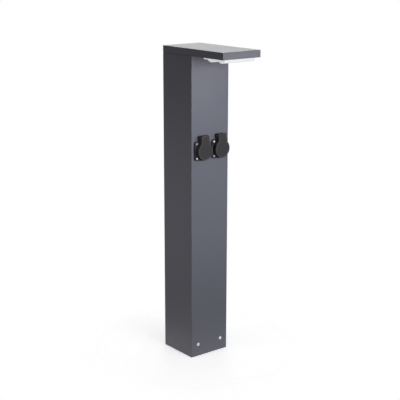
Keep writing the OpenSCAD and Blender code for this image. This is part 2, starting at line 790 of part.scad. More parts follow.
// outside of the head with rounded top edges
module head_block() {
    intersection() {
        translate([0, head_mid, head_z]) linear_extrude(head_t)
            rounded(post_w, head_len, post_r);
        translate([0, head_mid, 0]) along_y(head_len + 2 * cut)
            translate([0, head_z + head_t / 2 - cut])
                rounded(post_w, head_t + 2 * cut, head_edge_r);
        along_x(post_w + 2 * cut)
            translate([head_mid, head_z + head_t / 2 - cut])
                rounded(head_len, head_t + 2 * cut, head_edge_r);
    }
}

// casting: top, skirt and the bosses that take the plate's and the spigot's screws
module head_shell() color(anthracite) difference() {
    union() {
        difference() {
            head_block();
            translate([0, head_mid, head_z - cut]) linear_extrude(head_t - head_skin + cut)
                rounded(post_w - 2 * head_skin, head_len - 2 * head_skin, post_r);
        }
        for (s = [-1, 1], y = side_screw_y) translate([s * side_screw_x, y, base_top]) {
            cylinder(r = side_boss_r, h = total_h - head_skin / 2 - base_top);
            translate([s * (lens_side / 4), 0, (pocket_top - base_top) / 2])
                cube([lens_side / 2, boss_rib_w, pocket_top - base_top], center = true);
        }
        for (x = [-1, 1], y = [-1, 1])
            translate([x * spigot_screw_x, y * spigot_screw_x, base_top])
                cylinder(r = post_boss_r, h = total_h - head_skin / 2 - base_top);
    }
    for (s = [-1, 1], y = side_screw_y)
        translate([s * side_screw_x, y, base_top - cut])
            cylinder(r = base_shank_r + screw_gap, h = 8 + cut);
    for (x = [-1, 1], y = [-1, 1])
        translate([x * spigot_screw_x, y * spigot_screw_x, base_top - cut])
            cylinder(r = head_shank_r + screw_gap, h = 7.5 + cut);
}

module head_base() color(anthracite) difference() {
    translate([0, head_mid, base_z]) linear_extrude(base_t)
        rounded(post_w - 2 * head_skin - 2 * frame_gap,
            head_len - 2 * head_skin - 2 * frame_gap, post_r);
    translate([0, 0, base_z - cut]) linear_extrude(base_t + 2 * cut) {
        rounded(wiring_w, wiring_w, 3);
        translate([0, lens_y])
            chamfered(lens_w + 2 * frame_gap, lens_len + 2 * frame_gap, lens_c);
    }
    for (s = [-1, 1], y = side_screw_y)
        translate([s * side_screw_x, y, base_z]) rotate([180, 0, 0])
            flush_hole(base_shank_r, base_t + cut);
    for (x = [-1, 1], y = [-1, 1])
        translate([x * spigot_screw_x, y * spigot_screw_x, base_z - cut])
            cylinder(r = head_shank_r + screw_gap, h = base_t + 2 * cut);
}

module base_screws() color(steel)
    for (s = [-1, 1], y = side_screw_y)
        translate([s * side_screw_x, y, base_z]) rotate([180, 0, 0])
            flush_screw(base_shank_r, base_t + 6);

// light

module heat_spreader() color([0.78, 0.79, 0.8])
    translate([0, module_y, spreader_z]) linear_extrude(spreader_t)
        difference() {
            rounded(module_w, module_len, 3);
            board_spots() circle(small_shank_r + screw_gap);
        }

module board_spots()
    for (x = [-1, 1], y = [-1, 1])
        translate([x * (module_w / 2 - 5), y * (module_len / 2 - 5), 0]) children();

module led_board() color([0.93, 0.94, 0.93])
    translate([0, module_y, board_z]) linear_extrude(board_t)
        difference() {
            rounded(module_w, module_len, 3);
            board_spots() circle(small_shank_r + screw_gap);
        }

module leds() color([1, 0.9, 0.5])
    for (i = [0 : led_count - 1], y = lobe_y)
        translate([(i - (led_count - 1) / 2) * led_pitch, y, board_z - led_t / 2])
            cube([led_w, led_w, led_t], center = true);

module board_screws() color(steel)
    translate([0, module_y, board_z]) board_spots() rotate([180, 0, 0])
        dome_screw(2.8, 1.4, small_shank_r, board_t + spreader_t - 0.5);

// moulded lens: two lobes below, a groove above each row of emitters
module lens_cover() color([0.95, 0.97, 1, 0.8]) {
    intersection() {
        along_x(lens_w + 2 * cut) lens_outline();
        translate([0, lens_y, head_z - lens_drop - lobe_h - cut])
            linear_extrude(lens_top - head_z + lens_drop + lobe_h + 2 * cut)
                chamfered(lens_w, lens_len, lens_c);
    }
    translate([0, 0, lens_flange_z]) linear_extrude(lens_flange_t) difference() {
        lens_rim();
        translate([0, lens_y]) chamfered(lens_w - 2, lens_len - 2, lens_c - 1);
    }
}

module lens_joint() color([0.85, 0.85, 0.85])
    translate([0, 0, base_top]) linear_extrude(lens_joint_t) difference() {
        lens_rim();
        translate([0, lens_y])
            chamfered(lens_w + 2 * joint_gap, lens_len + 2 * joint_gap, lens_c);
    }

// gear inside the post

module gear_tray() color(zinc) difference() {
    translate([0, spigot_in, tray_top - tray_h]) linear_extrude(tray_h) difference() {
        translate([-tray_w / 2, -tray_lip]) square([tray_w, tray_lip]);
        translate([-tray_w / 2 + tray_t, -tray_lip - cut])
            square([tray_w - 2 * tray_t, tray_lip - tray_t + cut]);
    }
    for (x = [-tray_screw_x, tray_screw_x])
        translate([x, tray_face - cut, tray_top - tray_screw_drop]) rotate([-90, 0, 0])
            cylinder(r = small_shank_r + screw_gap, h = tray_t + 2 * cut);
    for (z = [driver_top + driver_tab / 2, driver_top - driver_h - driver_tab / 2])
        translate([0, tray_face - cut, z]) rotate([-90, 0, 0])
            translate([driver_screw_x, 0, 0])
                cylinder(r = small_shank_r + screw_gap, h = tray_t + 2 * cut);
}

module tray_screws() color(steel)
    for (x = [-tray_screw_x, tray_screw_x])
        translate([x, tray_face, tray_top - tray_screw_drop]) rotate([90, 0, 0])
            dome_screw(3, 2, small_shank_r, tray_t + spigot_t - 0.2);

// sealed driver: ribbed case with a fixing tab at each end
module led_driver() color([0.92, 0.92, 0.9]) difference() {
    union() {
        translate([0, driver_y, driver_top - driver_h]) linear_extrude(driver_h)
            rounded(driver_w, driver_d, 3);
        translate([-driver_w / 2, tray_face - 3, driver_top - driver_h - driver_tab])
            cube([driver_w, 3, driver_h + 2 * driver_tab]);
    }
    for (x = [-driver_w / 2 + 8 : 8 : driver_w / 2 - 8])
        translate([x, tray_face - driver_d, driver_top - driver_h / 2])
            cube([3, 2, driver_h - 16], center = true);
    for (z = [driver_top + driver_tab / 2, driver_top - driver_h - driver_tab / 2])
        translate([driver_screw_x, tray_face - 3 - cut, z]) rotate([-90, 0, 0])
            cylinder(r = small_shank_r + screw_gap, h = 3 + 2 * cut);
}

module driver_screws() color(steel)
    for (z = [driver_top + driver_tab / 2, driver_top - driver_h - driver_tab / 2])
        translate([driver_screw_x, tray_face - 3, z]) rotate([90, 0, 0])
            dome_screw(3, 2, small_shank_r, 3 + tray_t + 1);

module driver_lead() color(black) tube(curve(driver_route, 3), lead_r, 8, [1, 0, 0]);
module led_lead() color([0.9, 0.9, 0.9]) tube(curve(led_route, 3), led_lead_r, 8, [1, 0, 0]);
module left_socket_lead() color(black)
    tube(curve(mirrored(socket_route), 3), lead_r, 8, [1, 0, 0]);
module right_socket_lead() color(black)
    tube(curve(socket_route, 3), lead_r, 8, [1, 0, 0]);

// sockets

module flange_screws() color(steel)
    for (side = [-1, 1]) at_socket(side) flange_spots() translate([0, 0, flange_top])
        dome_screw(flange_head_r, 2.2, flange_shank_r,
            flange_top + post_t + flange_nut_t + 1);

module flange_nuts() color(zinc)
    for (side = [-1, 1]) at_socket(side) flange_spots()
        translate([0, 0, -post_t - flange_nut_t]) hex_nut(flange_shank_r, flange_nut_t);

module flange_gasket() color(black) linear_extrude(flange_gasket_t) difference() {
    rounded(flange_w - 0.8, flange_w - 0.8, flange_r);
    circle(insert_r + insert_gap);
    flange_spots() circle(flange_shank_r + screw_gap);
}

// front frame: flange, collar round the mouth, and the fixed half of the hinge
module socket_housing() color(black) difference() {
    union() {
        translate([0, 0, flange_z]) {
            linear_extrude(flange_t) rounded(flange_w, flange_w, flange_r);
            cylinder(r = collar_r, h = collar_h - flange_z);
        }
        for (s = [-1, 1])
            translate([s * (ear_in + neck_w / 2) / 2, 0, 0])
                along_x(neck_w / 2 - ear_in) ear_outline();
        translate([-ear_in - cut, root_y, flange_z])
            cube([2 * ear_in + 2 * cut, rest_y - root_y, hinge_z + coil_r + 1 - flange_z]);
    }
    translate([0, 0, flange_z - cut])
        cylinder(r = insert_r + insert_gap, h = mouth_z - flange_z + cut);
    translate([0, 0, mouth_z - cut]) cylinder(r = mouth_r, h = collar_h - mouth_z + 2 * cut);
    translate([0, 0, collar_h - mouth_chamfer])
        cylinder(r1 = mouth_r, r2 = mouth_r + mouth_chamfer + cut, h = mouth_chamfer + cut);
    flange_spots() translate([0, 0, flange_z - cut])
        cylinder(r = flange_shank_r + screw_gap, h = flange_t + 2 * cut);
    translate([0, hinge_y, hinge_z]) rotate([0, 90, 0])
        cylinder(r = hinge_pin_r + ear_gap, h = neck_w + 2 * cut, center = true);
}

module insert_screws() color(steel)
    for (s = [-1, 1]) at_socket(s) translate([0, 0, floor_z])
        flush_screw(insert_shank_r, floor_t - 2);

// insert: cup with the plug recess, keying ribs, pin holes and earth slots
module socket_insert() color([0.17, 0.17, 0.18]) difference() {
    union() {
        difference() {
            union() {
                translate([0, 0, pocket_z]) cylinder(r = insert_r, h = mouth_z - pocket_z);
                translate([0, 0, plate_z]) linear_extrude(insert_plate_t)
                    rounded(flange_w - 2, flange_w - 2, flange_r - 1);
            }
            translate([0, 0, floor_z]) cylinder(r = recess_r, h = recess_d + cut);
        }
        for (s = [-1, 1])
            translate([s * (recess_r - rib_d / 2 + 0.25), 0, (floor_z + mouth_z) / 2 - 1.5])
                cube([rib_d + 0.5, rib_w, recess_d - 2], center = true);
    }
    for (s = [-1, 1]) translate([s * pin_pitch / 2, 0, pocket_z - cut])
        cylinder(r = pin_hole_r, h = recess_floor_t + 2 * cut);
    clip_slots();
    translate([0, 0, floor_z]) flush_hole(insert_shank_r, recess_floor_t + cut);
    flange_spots() translate([0, 0, plate_z - cut])
        cylinder(r = flange_shank_r + screw_gap, h = insert_plate_t + 2 * cut);
}

module clip_slots()
    for (s = [-1, 1])
        translate([0, s * (clip_out - clip_t / 2), (floor_z + insert_back) / 2])
            cube([clip_w + 2 * contact_gap, clip_t + 2 * contact_gap, floor_t + 2 * cut],
                center = true);

// block behind the insert that carries the contact tubes
module contact_block() color([0.17, 0.17, 0.18]) difference() {
    translate([0, 0, insert_back]) cylinder(r = insert_r, h = pocket_z - insert_back);
    for (s = [-1, 1]) translate([s * pin_pitch / 2, 0, insert_back - cut])
        cylinder(r = contact_r + contact_gap, h = pocket_z - insert_back + 2 * cut);
    clip_slots();
    translate([0, 0, insert_back - cut])
        cylinder(r = insert_shank_r + screw_gap, h = pocket_z - insert_back + 2 * cut);
}

module line_contacts() color(brass)
    for (s = [-1, 1]) translate([s * pin_pitch / 2, 0, insert_back - 5]) difference() {
        cylinder(r = contact_r, h = pocket_z - insert_back + 5);
        translate([0, 0, 2]) cylinder(r = contact_r - contact_t, h = pocket_z - insert_back + 5);
    }

// one bent strip: two prongs in the recess joined behind its floor
module earth_clip() color(brass) {
    for (s = [-1, 1]) {
        translate([-clip_w / 2, s > 0 ? clip_out - clip_t : -clip_out, insert_back - clip_t])
            cube([clip_w, clip_t, mouth_z - 3 - insert_back + clip_t]);
        translate([0, s * (clip_out - clip_t), mouth_z - 5.5]) rotate([0, 90, 0])
            cylinder(r = 1, h = clip_w, center = true);
    }
    translate([-clip_w / 2, -clip_out, insert_back - clip_t]) cube([clip_w, 2 * clip_out, clip_t]);
}

module rear_cover() color([0.17, 0.17, 0.18]) difference() {
    translate([0, 0, cover_back]) cylinder(r = insert_r, h = rear_cover_h);
    translate([0, 0, cover_back + rear_cover_t])
        cylinder(r = insert_r - rear_cover_t, h = rear_cover_h);
    translate([0, 0, cover_mid]) rotate([90, 0, 0])
        cylinder(r = lead_r + 0.3, h = insert_r + cut);
}

// hinges and lids

module hinge_pin() color(steel) translate([0, hinge_y, hinge_z]) rotate([0, 90, 0])
    cylinder(r = hinge_pin_r, h = neck_w - 0.8, center = true);

module hinge_spring() color(steel)
    translate([0, hinge_y, hinge_z]) tube(spring_path, wire_r, 6, [1, 0, 0]);

// keyhole lid: rimmed face, finger lip, seal groove and two knuckles
module lid() color(black) difference() {
    union() {
        translate([0, 0, lid_z]) {
            difference() {
                linear_extrude(lid_t + rim_h) keyhole();
                translate([0, 0, lid_t]) linear_extrude(rim_h + cut) keyhole(rim_w);
            }
            translate([0, -lid_r + 3 - lip_h / 2, 0]) linear_extrude(lid_t - 1)
                rounded(lip_w, lip_h + 6, 2);
        }
        for (s = [-1, 1]) translate([s * (knuckle_in + knuckle_w / 2), hinge_y, hinge_z])
            along_x(knuckle_w) {
                circle(barrel_r);
                translate([-knuckle_web, 0]) square([2 * knuckle_web, lid_z - hinge_z + 0.5]);
            }
    }
    translate([0, 0, lid_z - cut]) linear_extrude(seal_groove + cut) difference() {
        circle(seal_in_r + seal_w + 0.05);
        circle(seal_in_r - 0.05);
    }
    translate([0, hinge_y, hinge_z]) rotate([0, 90, 0])
        cylinder(r = hinge_pin_r + knuckle_fit, h = neck_w, center = true);
}

module lid_seal() color([0.2, 0.2, 0.2])
    translate([0, 0, collar_h + seal_gap])
        linear_extrude(lid_z + seal_groove - collar_h - seal_gap) difference() {
            circle(seal_in_r + seal_w);
            circle(seal_in_r);
        }

module left_flange_gasket() at_socket(-1) flange_gasket();
module left_socket_housing() at_socket(-1) socket_housing();
module left_socket_insert() at_socket(-1) socket_insert();
module left_contact_block() at_socket(-1) contact_block();
module left_line_contacts() at_socket(-1) line_contacts();
module left_earth_clip() at_socket(-1) earth_clip();
module left_rear_cover() at_socket(-1) rear_cover();
module left_hinge_pin() at_socket(-1) hinge_pin();
module left_hinge_spring() at_socket(-1) hinge_spring();
module left_lid() at_socket(-1) lid();
module left_lid_seal() at_socket(-1) lid_seal();
module right_flange_gasket() at_socket(1) flange_gasket();
module right_socket_housing() at_socket(1) socket_housing();
module right_socket_insert() at_socket(1) socket_insert();
module right_contact_block() at_socket(1) contact_block();
module right_line_contacts() at_socket(1) line_contacts();
module right_earth_clip() at_socket(1) earth_clip();
module right_rear_cover() at_socket(1) rear_cover();
module right_hinge_pin() at_socket(1) hinge_pin();
module right_hinge_spring() at_socket(1) hinge_spring();
module right_lid() at_socket(1) lid();
module right_lid_seal() at_socket(1) lid_seal();

foot_bracket();
foot_screws();
foot_nuts();
earth_stud();
earth_nuts();
terminal_bracket();
bracket_screws();
terminal_block();
cord_clamp();
clamp_screws();
post_tube();
head_gasket();
head_spigot();
head_screws();
spigot_screws();
head_shell();
head_base();
base_screws();
heat_spreader();
led_board();
leds();
board_screws();
lens_cover();
lens_joint();
gear_tray();
tray_screws();
led_driver();
driver_screws();
driver_lead();
led_lead();
left_socket_lead();
right_socket_lead();
flange_screws();
flange_nuts();
insert_screws();
left_flange_gasket();
left_socket_housing();
left_socket_insert();
left_contact_block();
left_line_contacts();
left_earth_clip();
left_rear_cover();
left_hinge_pin();
left_hinge_spring();
left_lid();
left_lid_seal();
right_flange_gasket();
right_socket_housing();
right_socket_insert();
right_contact_block();
right_line_contacts();
right_earth_clip();
right_rear_cover();
right_hinge_pin();
right_hinge_spring();
right_lid();
right_lid_seal();
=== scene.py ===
import math

import bmesh
import bpy
from bpy.props import FloatProperty, FloatVectorProperty, IntProperty, PointerProperty
from mathutils import Matrix, Vector


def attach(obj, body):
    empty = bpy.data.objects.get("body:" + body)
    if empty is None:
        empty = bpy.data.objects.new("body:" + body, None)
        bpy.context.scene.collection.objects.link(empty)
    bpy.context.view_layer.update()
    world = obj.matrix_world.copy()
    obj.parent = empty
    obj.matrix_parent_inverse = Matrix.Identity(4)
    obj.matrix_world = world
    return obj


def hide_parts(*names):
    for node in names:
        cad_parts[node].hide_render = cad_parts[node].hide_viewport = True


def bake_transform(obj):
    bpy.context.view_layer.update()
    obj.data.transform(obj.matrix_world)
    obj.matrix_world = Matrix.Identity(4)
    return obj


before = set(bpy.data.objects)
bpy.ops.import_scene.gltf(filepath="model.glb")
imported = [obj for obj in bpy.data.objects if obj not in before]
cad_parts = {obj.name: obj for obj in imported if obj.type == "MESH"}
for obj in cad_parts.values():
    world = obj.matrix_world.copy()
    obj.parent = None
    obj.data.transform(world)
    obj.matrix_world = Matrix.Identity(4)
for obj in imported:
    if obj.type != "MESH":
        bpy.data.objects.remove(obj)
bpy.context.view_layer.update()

bl_info = {
    "name": "Bollard Light with Sockets",
    "version": (1, 0, 0),
    "blender": (4, 5, 0),
    "location": "View3D > Sidebar > Bollard",
    "description": "Finishes, springs, leads and studio for a bollard light with two sockets",
    "category": "Object",
}

MM = 0.001
SIDES = {"left": -1, "right": 1}

# rays that round one point of an edge, and how steeply the mask of sharp edges rises
BEVEL_SAMPLES = 6
EDGE_GAIN = 5
# sockets of a Mix node for two colours and their mixture
MIX_FIRST, MIX_SECOND, MIX_RESULT = 6, 7, 2

# sides of the round tubes, and steps between two given points of a lead
SPRING_SIDES = 12
LEAD_SIDES = 20
LEAD_STEPS = 8
# depth of a tube's end domes in tube radii, and their rings from the tip inwards:
# how far out each is as a share of that depth, and its share of the tube's radius
DOME_DEPTH = 0.3
DOME_RINGS = ((1.0, 0.72), (0.35, 0.94), (0.0, 1.0))

# degrees in a turn, in the coil's last part turn, and between two points of the coil
TURN = 360
PART_TURN = 270
COIL_ARC = 15
# where a spring's legs have points near the coil, in coil radii from its middle
LEG_POINTS = (0.3, 0.6, 0.9)

# half the floor's width and its depth under the foot, in metres
FLOOR_HALF = 2.0
FLOOR_DROP = 0.0003
# reach from the middle where the floor begins to fade and where it is gone, in metres,
# and the scale that brings a reach onto the fade's ramp
FADE_START, FADE_END, FADE_SCALE = 0.07, 0.34, 0.5

# camera sensor in millimetres, and nearest and furthest distance seen in metres
SENSOR_WIDTH = 36.0
CLIP_START, CLIP_END = 0.05, 50.0


# settings

def colour_property(name, description, default):
    return FloatVectorProperty(
        name=name, description=description, default=default, subtype="COLOR", size=3, min=0, max=1
    )


def length_property(name, description, default, low=0.0001, high=2.0):
    return FloatProperty(
        name=name, description=description, default=default, unit="LENGTH", min=low, max=high,
        precision=5,
    )


def power_property(name, description, default):
    return FloatProperty(
        name=name, description=description, default=default, min=0, max=2000, unit="POWER"
    )


class BollardSizes(bpy.types.PropertyGroup):
    """Sizes of the springs and leads, which follow the solids that they stand for."""

    socket_pitch: length_property("Socket pitch", "Distance between the two socket centres", 0.056)
    socket_height: length_property("Socket height", "Height of the socket centres", 0.561)
    post_face: length_property("Post face", "Distance of the post's front face from its axis", 0.060)
    hinge_rise: length_property("Hinge rise", "Height of the hinge axis above a socket", 0.0335)
    hinge_reach: length_property("Hinge reach", "Distance of the hinge axis out from the post", 0.0083)
    wire_radius: length_property("Wire radius", "Radius of the closing spring's wire", 0.0004)
    coil_radius: length_property("Coil radius", "Mean radius of the closing spring's coil", 0.0024)
    coil_step: length_property("Coil step", "Advance of the coil in one turn", 0.00125)
    coil_turns: IntProperty(
        name="Coil turns", description="Whole turns of the closing spring", default=4, min=3, max=6
    )
    housing_leg: length_property("Housing leg", "Length of the spring's leg on the housing", 0.0062)
    lid_leg: length_property("Lid leg", "Reach of the spring's leg under the lid", 0.0059)
    power_lead_radius: length_property(
        "Power lead radius", "Radius of the leads to the sockets and the driver", 0.0035
    )
    light_lead_radius: length_property(
        "Light lead radius", "Radius of the lead to the light", 0.0025
    )


class BollardColours(bpy.types.PropertyGroup):
    """Base colours of the finishes."""

    coat: colour_property("Coat", "Anthracite powder coat", (0.088, 0.091, 0.108))
    moulding: colour_property("Moulding", "Black lids and socket frames", (0.012, 0.0108, 0.012))
    # painted highlight: this warm light tone on the lids' rims stands in for light caught by their
    # edges, not rubbing
    lid_rim_highlight: colour_property("Lid rim highlight", "Rubbed edges of the lids", (0.2, 0.165, 0.145))
    insert: colour_property("Insert", "Black socket inserts", (0.016, 0.016, 0.017))
    rubber: colour_property("Rubber", "Black seals and gaskets", (0.018, 0.018, 0.019))
    silicone: colour_property("Silicone", "Joint round the lens", (0.62, 0.63, 0.63))
    zinc: colour_property("Zinc", "Galvanised sheet", (0.52, 0.54, 0.56))
    stainless: colour_property("Stainless", "Screws and pins", (0.93, 0.93, 0.93))
    blued: colour_property("Blued steel", "Screws in the socket recesses", (0.13, 0.13, 0.145))
    aluminium: colour_property("Aluminium", "Heat spreader", (0.78, 0.79, 0.80))
    brass: colour_property("Brass", "Contacts and earth parts", (0.60, 0.42, 0.155))
    spring: colour_property("Spring", "Closing springs", (0.48, 0.48, 0.50))
    # kept dark because most of the lens's brightness is its painted glow
    lens: colour_property("Lens", "Opal lens", (0.12, 0.12, 0.122))
    board: colour_property("Board", "Circuit board", (0.82, 0.84, 0.82))
    phosphor: colour_property("Phosphor", "Light emitters", (0.95, 0.72, 0.20))
    case: colour_property("Case", "Driver and terminal block", (0.74, 0.74, 0.71))
    black_jacket: colour_property("Black jacket", "Power leads", (0.02, 0.02, 0.021))
    white_jacket: colour_property("White jacket", "Light lead", (0.70, 0.70, 0.68))
    floor: colour_property("Floor", "Studio floor", (0.95, 0.95, 0.95))


class BollardStudio(bpy.types.PropertyGroup):
    """Camera and light of the studio."""

    camera_x: length_property("Camera X", "Camera position along X", -1.5634, -10, 10)
    camera_y: length_property("Camera Y", "Camera position along Y", -1.9985, -10, 10)
    camera_z: length_property("Camera Z", "Camera height", 1.0634, -10, 10)
    heading: FloatProperty(
        name="Heading", description="Direction of view about Z", default=math.radians(-38.297),
        subtype="ANGLE",
    )
    dip: FloatProperty(
        name="Dip", description="How far the camera looks down", default=math.radians(14.365),
        subtype="ANGLE",
    )
    roll: FloatProperty(
        name="Roll", description="Turn about the line of sight", default=math.radians(0.081),
        subtype="ANGLE",
    )
    lens: FloatProperty(
        name="Lens", description="Focal length on a 36 mm sensor", default=88.91, min=10, max=300
    )
    ambient: FloatProperty(
        name="Ambient", description="Strength of the soft light from all round", default=0.27,
        min=0, max=5,
    )
    ambient_tint: colour_property("Ambient tint", "Colour of the soft light", (1.0, 1.0, 1.0))
    floor_glow: FloatProperty(
        name="Floor glow", description="Light that the floor gives by itself", default=0.56, min=0,
        max=5,
    )
    front_power: power_property("Front power", "Large soft light in front, on the right", 10)
    front_tint: colour_property("Front tint", "Colour of that light", (1.0, 1.0, 1.0))
    main_power: power_property("Main power", "Soft light in front, level with the head", 1.74)
    main_tint: colour_property("Main tint", "Colour of that light", (0.894, 0.916, 1.0))
    near_power: power_property("Near power", "Small light close to the head", 0.093)
    near_tint: colour_property("Near tint", "Colour of that light", (0.95, 0.92, 1.0))
    back_power: power_property("Back power", "Soft light behind, for the sheen on top", 23.7)
    back_tint: colour_property("Back tint", "Colour of that light", (0.999, 0.994, 1.0))
    side_power: power_property("Side power", "Soft light on the left", 0.255)
    side_tint: colour_property("Side tint", "Colour of that light", (1.0, 0.9, 0.93))


# shader maths

class Value:
    """A number that varies over a surface. Sums, differences and products add Math nodes."""

    def __init__(self, finish, socket):
        self.finish = finish
        self.socket = socket

    def __add__(self, other):
        return self.finish.math("ADD", self, other)

    __radd__ = __add__

    def __mul__(self, other):
        return self.finish.math("MULTIPLY", self, other)

    __rmul__ = __mul__

    def __sub__(self, other):
        return self.finish.math("SUBTRACT", self, other)

    def __rsub__(self, other):
        return self.finish.math("SUBTRACT", other, self)

    def limited(self):
        """Held between 0 and 1."""
        return self.finish.math("ADD", self, 0.0, clamped=True)


class Finish:
    """One material, built node by node."""

    def __init__(self, name):
        self.material = bpy.data.materials.new(name)
        self.material.use_nodes = True
        self.tree = self.material.node_tree
        self.tree.nodes.clear()
        self.place = self.node("ShaderNodeTexCoord").outputs["Object"]
        self.surface = self.node("ShaderNodeBsdfPrincipled")
        output = self.node("ShaderNodeOutputMaterial")
        self.tree.links.new(self.surface.outputs["BSDF"], output.inputs["Surface"])

    def node(self, kind, settings=None, inputs=None):
        """Adds a node: its settings first, then the values or links of its sockets."""
        made = self.tree.nodes.new(kind)
        for key, value in (settings or {}).items():
            if key == "stops":
                ramp = made.color_ramp
                while len(ramp.elements) < len(value):
                    ramp.elements.new(1.0)
                for stop, (position, shade) in zip(ramp.elements, value):
                    stop.position = position
                    stop.color = (shade, shade, shade, 1)
            else:
                setattr(made, key, value)
        for key, value in (inputs or {}).items():
            self.feed(made.inputs[key], value)
        return made

    def feed(self, socket, value):
        """Links a varying value to a socket, or sets a constant one."""
        if isinstance(value, Value):
            value = value.socket
        if isinstance(value, bpy.types.NodeSocket):
            self.tree.links.new(value, socket)
        else:
            socket.default_value = value

    def math(self, operation, first, second, clamped=False):
        """One Math node, held between 0 and 1 when clamped."""
        made = self.node(
            "ShaderNodeMath", {"operation": operation, "use_clamp": clamped}, {0: first, 1: second}
        )
        return Value(self, made.outputs[0])

    def stretched(self, x, y, z):
        """The surface's own coordinates, drawn out along the axes with the small factors."""
        made = self.node(
            "ShaderNodeVectorMath", {"operation": "MULTIPLY"}, {0: self.place, 1: (x, y, z)}
        )
        return made.outputs["Vector"]

    def noise(self, scale, detail=2.0, roughness=0.5, place=None):
        """Soft random patches from 0 to 1."""
        made = self.node(
            "ShaderNodeTexNoise", {},
            {"Vector": place or self.place, "Scale": scale, "Detail": detail, "Roughness": roughness},
        )
        return Value(self, made.outputs[0])

    def cells(self, scale):
        """One random number for each cell of the surface."""
        made = self.node("ShaderNodeTexVoronoi", {}, {"Vector": self.place, "Scale": scale})
        parts = self.node("ShaderNodeSeparateColor", {}, {0: made.outputs["Color"]})
        return Value(self, parts.outputs[0])

    def pits(self, scale):
        """Distance from the middle of each cell."""
        made = self.node("ShaderNodeTexVoronoi", {}, {"Vector": self.place, "Scale": scale})
        return Value(self, made.outputs["Distance"])

    def bands(self, scale, direction):
        """Even waves that follow one another along an axis."""
        made = self.node(
            "ShaderNodeTexWave", {"wave_type": "BANDS", "bands_direction": direction},
            {"Vector": self.place, "Scale": scale, "Distortion": 0.0},
        )
        return Value(self, made.outputs["Fac"])

    def height(self):
        """Height above the origin of the object."""
        parts = self.node("ShaderNodeSeparateXYZ", {}, {0: self.place})
        return Value(self, parts.outputs["Z"])

    def ramp(self, value, *stops):
        """A value carried over to new ones by stops of position and result."""
        made = self.node("ShaderNodeValToRGB", {"stops": stops}, {"Fac": value})
        parts = self.node("ShaderNodeSeparateColor", {}, {0: made.outputs["Color"]})
        return Value(self, parts.outputs[0])

    def rounded(self, radius):
        """The normal, rounded over within a radius of each edge."""
        made = self.node("ShaderNodeBevel", {"samples": BEVEL_SAMPLES}, {"Radius": radius})
        return made.outputs["Normal"]

    def edges(self, radius):
        """1 on sharp edges, 0 away from them."""
        soft = self.rounded(radius)
        sharp = self.node("ShaderNodeNewGeometry").outputs["Normal"]
        facing = self.node("ShaderNodeVectorMath", {"operation": "DOT_PRODUCT"}, {0: soft, 1: sharp})
        return ((1 - Value(self, facing.outputs["Value"])) * EDGE_GAIN).limited()

    def mix(self, share, first, second):
        """Two colours mixed by a share."""
        made = self.node(
            "ShaderNodeMix", {"data_type": "RGBA"}, {0: share, MIX_FIRST: first, MIX_SECOND: second}
        )
        return made.outputs[MIX_RESULT]

    def bump(self, relief, distance, normal=None):
        """The normal, tilted by a relief of the given depth in metres."""
        inputs = {"Height": relief, "Distance": distance, "Strength": 1.0}
        if normal is not None:
            inputs["Normal"] = normal
        return self.node("ShaderNodeBump", {}, inputs).outputs["Normal"]

    def set(self, **values):
        """Sets the sockets of the surface, whose names are written with _ for a space."""
        for key, value in values.items():
            self.feed(self.surface.inputs[key.replace("_", " ")], value)
        return self.material


def shaded(colour, factor):
    """A colour made lighter or darker."""
    return tuple(min(1.0, part * factor) for part in colour)


def tone(colour, factor=1.0):
    """A colour made lighter or darker, with full alpha, as a socket takes it."""
    return (*shaded(colour, factor), 1.0)


# finishes

def powder_coat(colours):
    """Fine structured anthracite coat: orange peel, a little dust low down, thin on edges."""
    f = Finish("anthracite_powder_coat")
    peel = f.noise(620)
    grain = f.noise(3600, detail=1.0)
    cloud = f.noise(3.2, detail=4.0)
    flakes = f.ramp(f.cells(5200), (0.0, 0.0), (0.93, 0.0), (1.0, 1.0))
    edge = f.edges(0.0012)
    splash = f.noise(60, detail=5.0, roughness=0.65)
    dust = f.ramp(f.height(), (0.0, 1.0), (0.045, 0.25), (0.12, 0.0)) * splash
    base = f.mix(cloud, tone(colours.coat, 0.93), tone(colours.coat, 1.07))
    base = f.mix((flakes * 0.18 + grain * 0.10).limited(), base, tone(colours.coat, 1.9))
    base = f.mix((edge * 0.30).limited(), base, tone(colours.coat, 1.7))
    base = f.mix((dust * 0.14).limited(), base, (0.13, 0.12, 0.115, 1))
    return f.set(
        Base_Color=base,
        Roughness=(0.39 + peel * 0.08 + cloud * 0.05 + dust * 0.12).limited(),
        Normal=f.bump(peel * 0.75 + grain * 0.25, distance=0.00003, normal=f.rounded(0.0005)),
    )


def moulded(
    name, colour, roughness, grain_scale=2400, depth=0.00002, radius=0.0004, rim=0.0008, rim_highlight_colour=None
):
    """Plastic from a spark-eroded mould: fine grain, edges rubbed a little lighter; where a rim
    highlight colour is given, as on the lids, the lighter edges are a painted highlight instead.
    """
    f = Finish(name)
    grain = f.noise(grain_scale, detail=3.0, roughness=0.6)
    pits = f.pits(grain_scale * 0.7)
    flow = f.noise(38, detail=3.0)
    edge = f.edges(rim)
    base = f.mix(flow, tone(colour, 0.82), tone(colour, 1.2))
    # edges made lighter: rubbing on most parts; with a rim highlight colour, as on the lids, a painted
    # highlight
    base = f.mix((edge * 0.5).limited(), base, tone(rim_highlight_colour or shaded(colour, 2.6)))
    base = f.mix((grain * 0.25).limited(), base, tone(colour, 1.5))
    return f.set(
        Base_Color=base,
        Roughness=(roughness - 0.06 + grain * 0.10 + flow * 0.05).limited(),
        Normal=f.bump(grain * 0.6 + pits * 0.4, depth, f.rounded(radius)),
    )


def rubber(name, colour, roughness):
    """Soft seal: matt, faintly mottled, bloomed grey in places."""
    f = Finish(name)
    bloom = f.noise(90, detail=5.0, roughness=0.7)
    skin = f.noise(1700)
    base = f.mix(bloom, tone(colour, 0.8), tone(colour, 1.7))
    return f.set(
        Base_Color=base,
        Roughness=(roughness + bloom * 0.15).limited(),
        Normal=f.bump(skin, distance=0.00003, normal=f.rounded(0.0003)),
    )


